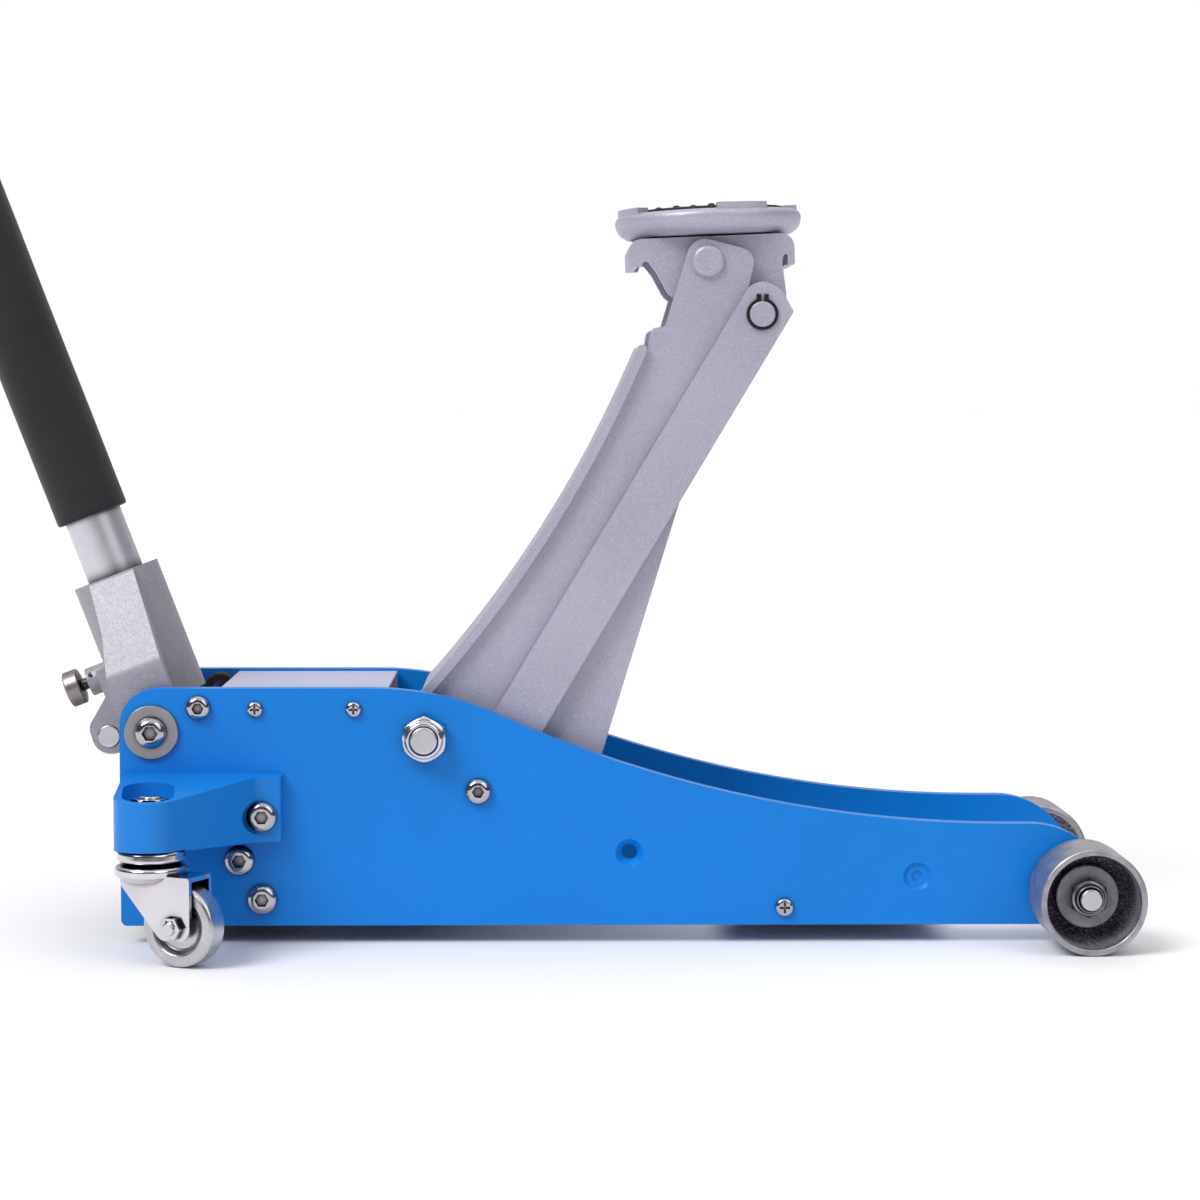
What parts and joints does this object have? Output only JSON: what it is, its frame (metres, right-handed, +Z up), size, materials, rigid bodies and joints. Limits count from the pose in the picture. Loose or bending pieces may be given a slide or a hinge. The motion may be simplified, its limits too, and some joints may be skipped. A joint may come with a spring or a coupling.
{
  "type": "low-profile trolley jack",
  "caption": "Low-profile hydraulic trolley jack with a parallelogram lifting arm, swivelling saddle, rear casters and a long pump handle, shown raised.",
  "frame": {"origin": "on the floor under the middle of the whole jack's box, handle included", "axes": "+X to the nose (front rollers), +Y to the left side, +Z up"},
  "size_m": [0.8378, 0.2488, 1.0419],
  "materials": {
    "blue_coat": "azure powder coat, satin",
    "bracket_coat": "azure paint over a casting",
    "silver_coat": "silver metallic powder coat",
    "cast_silver": "coarse silver powder coat",
    "cover_coat": "pale grey paint",
    "chrome": "polished plating",
    "zinc": "zinc plated or ground steel",
    "bare_steel": "turned steel outside, rough cast inside",
    "black_oxide": "black spring steel",
    "pump_paint": "dark grey paint",
    "tube_silver": "satin silver",
    "foam_black": "closed-cell foam and rubber",
    "rubber_black": "moulded rubber"
  },
  "bodies": {
    "chassis": {"right_side_plate": "blue_coat", "left_side_plate": "blue_coat", "front_axle": "zinc", "front_axle_nuts": "zinc", "base_plate": "cover_coat", "base_plate_screws": "chrome", "sunk_screws": "blue_coat", "top_cover": "cover_coat", "cover_screws": "chrome", "caster_bracket_right": "bracket_coat", "caster_bracket_left": "bracket_coat", "block_bolts": "chrome", "stop_bolts": "chrome", "socket_stops": "rubber_black", "handle_pivot_bolts": "chrome", "rod_pivot_bolts": "chrome", "pivot_washers": "zinc", "arm_shaft": "zinc", "arm_shaft_nuts": "chrome", "caster_stems": "chrome", "pump_block": "pump_paint", "ram_cylinder": "pump_paint", "oil_tank": "pump_paint", "plunger_springs": "black_oxide", "return_springs": "black_oxide"},
    "lift_arm": {"arm_right_plate": "silver_coat", "arm_left_plate": "silver_coat", "arm_web": "silver_coat", "arm_pivot_tube": "silver_coat", "saddle_pivots": "silver_coat", "ram_pin": "zinc"},
    "link_rods": {"link_rods": "silver_coat", "head_pin": "silver_coat", "head_pin_clips": "black_oxide"},
    "saddle_head": {"head_bracket": "silver_coat"},
    "saddle": {"saddle_cup": "silver_coat", "saddle_pad": "rubber_black", "saddle_retainer": "silver_coat"},
    "ram": {"ram_rod": "zinc"},
    "handle_socket": {"handle_socket": "cast_silver", "roller_pin": "zinc"},
    "pump_rollers": {"pump_rollers": "zinc"},
    "pump_plungers": {"pump_plungers": "zinc"},
    "thumbscrew": {"thumbscrew": "zinc"},
    "handle": {"handle_lower_tube": "tube_silver", "foam_sleeve": "foam_black", "handle_upper_tube": "tube_silver", "hand_grip": "foam_black", "valve_driver": "zinc"},
    "release_valve": {"release_valve": "zinc"},
    "caster_fork_right": {"caster_fork_right": "chrome", "caster_axle_right": "chrome"},
    "caster_fork_left": {"caster_fork_left": "chrome", "caster_axle_left": "chrome"},
    "caster_wheel_right": {"caster_wheel_right": "zinc"},
    "caster_wheel_left": {"caster_wheel_left": "zinc"},
    "front_wheel_right": {"front_wheel_right": "bare_steel"},
    "front_wheel_left": {"front_wheel_left": "bare_steel"}
  },
  "joints": [
    {"name": "arm_lift", "type": "hinge", "parent": "chassis", "child": "lift_arm", "pos_m": [0.07929, 0, 0.0986], "axis": [0, 1, 0], "range_deg": [0, 68.8], "deforming": ["return_springs"]},
    {"name": "rod_swing", "type": "hinge", "parent": "chassis", "child": "link_rods", "pos_m": [0.10489, 0, 0.0732], "axis": [0, 1, 0], "range_deg": [0, 68.8]},
    {"name": "head_level", "type": "hinge", "parent": "lift_arm", "child": "saddle_head", "pos_m": [0.21483, 0, 0.32597], "axis": [0, 1, 0], "range_deg": [-68.8, 0]},
    {"name": "saddle_turn", "type": "hinge", "parent": "saddle_head", "child": "saddle", "pos_m": [0.21763, 0, 0.32609], "axis": [-0.0436, 0, 0.999], "continuous": true},
    {"name": "ram_slide", "type": "slide", "parent": "chassis", "child": "ram", "axis": [1, 0, 0], "range_m": [-0.05651, 0]},
    {"name": "handle_pump", "type": "hinge", "parent": "chassis", "child": "handle_socket", "pos_m": [-0.05041, 0, 0.1016], "axis": [0, 1, 0], "range_deg": [-58, 18], "deforming": ["plunger_springs"]},
    {"name": "plunger_slide", "type": "slide", "parent": "chassis", "child": "pump_plungers", "axis": [0, 0, 1], "range_m": [-0.02026, 0.00629]},
    {"name": "roller_spin", "type": "hinge", "parent": "handle_socket", "child": "pump_rollers", "pos_m": [-0.07407, 0, 0.09685], "axis": [0, 1, 0], "continuous": true},
    {"name": "thumbscrew_turn", "type": "hinge", "parent": "handle_socket", "child": "thumbscrew", "pos_m": [-0.06138, 0, 0.13033], "axis": [-0.9342, 0, -0.3567], "continuous": true},
    {"name": "handle_twist", "type": "hinge", "parent": "handle_socket", "child": "handle", "pos_m": [-0.04761, 0, 0.10267], "axis": [-0.3567, 0, 0.9342], "range_deg": [0, 180]},
    {"name": "valve_turn", "type": "hinge", "parent": "chassis", "child": "release_valve", "pos_m": [-0.04761, 0, 0.10267], "axis": [-0.3567, 0, 0.9342], "range_deg": [0, 180]},
    {"name": "caster_swivel_right", "type": "hinge", "parent": "chassis", "child": "caster_fork_right", "pos_m": [-0.04461, -0.103, 0.045], "axis": [0, 0, 1], "continuous": true},
    {"name": "caster_swivel_left", "type": "hinge", "parent": "chassis", "child": "caster_fork_left", "pos_m": [-0.04461, 0.103, 0.045], "axis": [0, 0, 1], "continuous": true},
    {"name": "caster_roll_right", "type": "hinge", "parent": "caster_fork_right", "child": "caster_wheel_right", "pos_m": [-0.02884, -0.11104, 0.019], "axis": [0.454, 0.891, 0], "continuous": true},
    {"name": "caster_roll_left", "type": "hinge", "parent": "caster_fork_left", "child": "caster_wheel_left", "pos_m": [-0.02884, 0.11104, 0.019], "axis": [-0.454, 0.891, 0], "continuous": true},
    {"name": "front_roll_right", "type": "hinge", "parent": "chassis", "child": "front_wheel_right", "pos_m": [0.39369, -0.076, 0.0252], "axis": [0, 1, 0], "continuous": true},
    {"name": "front_roll_left", "type": "hinge", "parent": "chassis", "child": "front_wheel_left", "pos_m": [0.39369, 0.076, 0.0252], "axis": [0, 1, 0], "continuous": true}
  ],
  "couplings": [
    {"joint": "rod_swing", "follows": "arm_lift", "ratio": 1},
    {"joint": "head_level", "follows": "arm_lift", "ratio": -1},
    {"joint": "ram_slide", "follows": "arm_lift", "m_per_rad": -0.04705},
    {"joint": "plunger_slide", "follows": "handle_pump", "m_per_rad": 0.02},
    {"joint": "valve_turn", "follows": "handle_twist", "ratio": 1}
  ]
}
